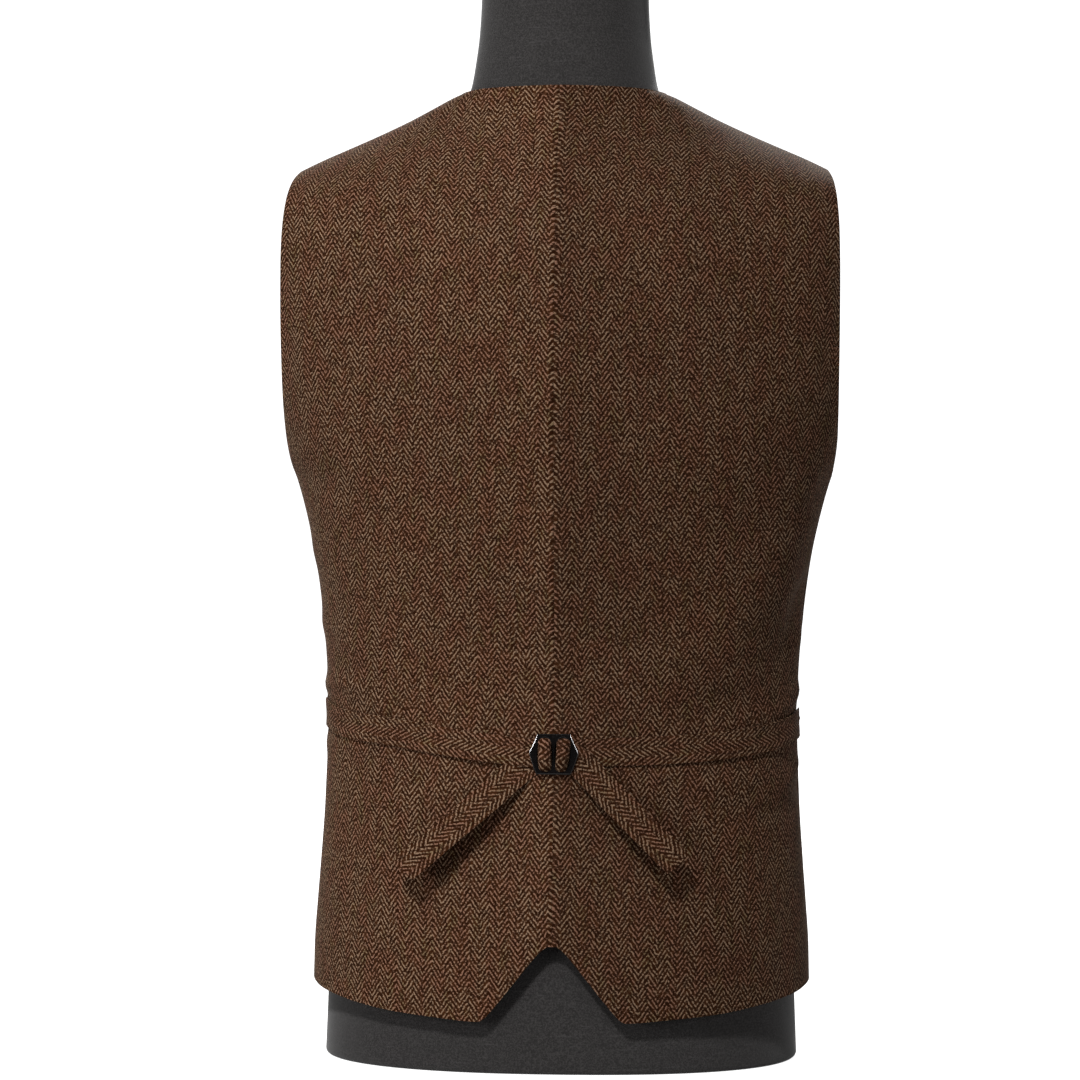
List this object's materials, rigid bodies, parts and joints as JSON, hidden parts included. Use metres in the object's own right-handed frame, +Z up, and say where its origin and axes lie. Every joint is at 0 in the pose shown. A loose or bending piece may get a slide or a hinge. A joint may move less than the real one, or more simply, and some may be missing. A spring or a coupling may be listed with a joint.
{
  "type": "suit waistcoat on a dress form",
  "caption": "Brown herringbone suit waistcoat with a V neck, pointed fronts, back vent and buckled half belts, worn on a smooth limbless dress form with a flat base.",
  "frame": {"origin": "centre of the form's flat base, on the floor it stands on", "axes": "+Z up; -Y towards the wearer's back, which is the side the picture shows; +X towards the wearer's right"},
  "size_m": [0.3824, 0.2615, 0.752],
  "materials": {
    "waistcoat_cloth": "brushed wool herringbone",
    "belt_cloth": "brushed wool herringbone",
    "buckle_metal": "polished black nickel",
    "button_horn": "polished horn",
    "form_cover": "woven charcoal cover"
  },
  "bodies": {
    "root": {"back_left": "waistcoat_cloth", "back_right": "waistcoat_cloth", "front_left": "waistcoat_cloth", "front_right": "waistcoat_cloth", "strap_left": "belt_cloth", "strap_right": "belt_cloth", "buckle": "buckle_metal", "button_1": "button_horn", "button_2": "button_horn", "button_3": "button_horn", "button_4": "button_horn", "button_5": "button_horn", "dress_form": "form_cover"}
  },
  "joints": []
}
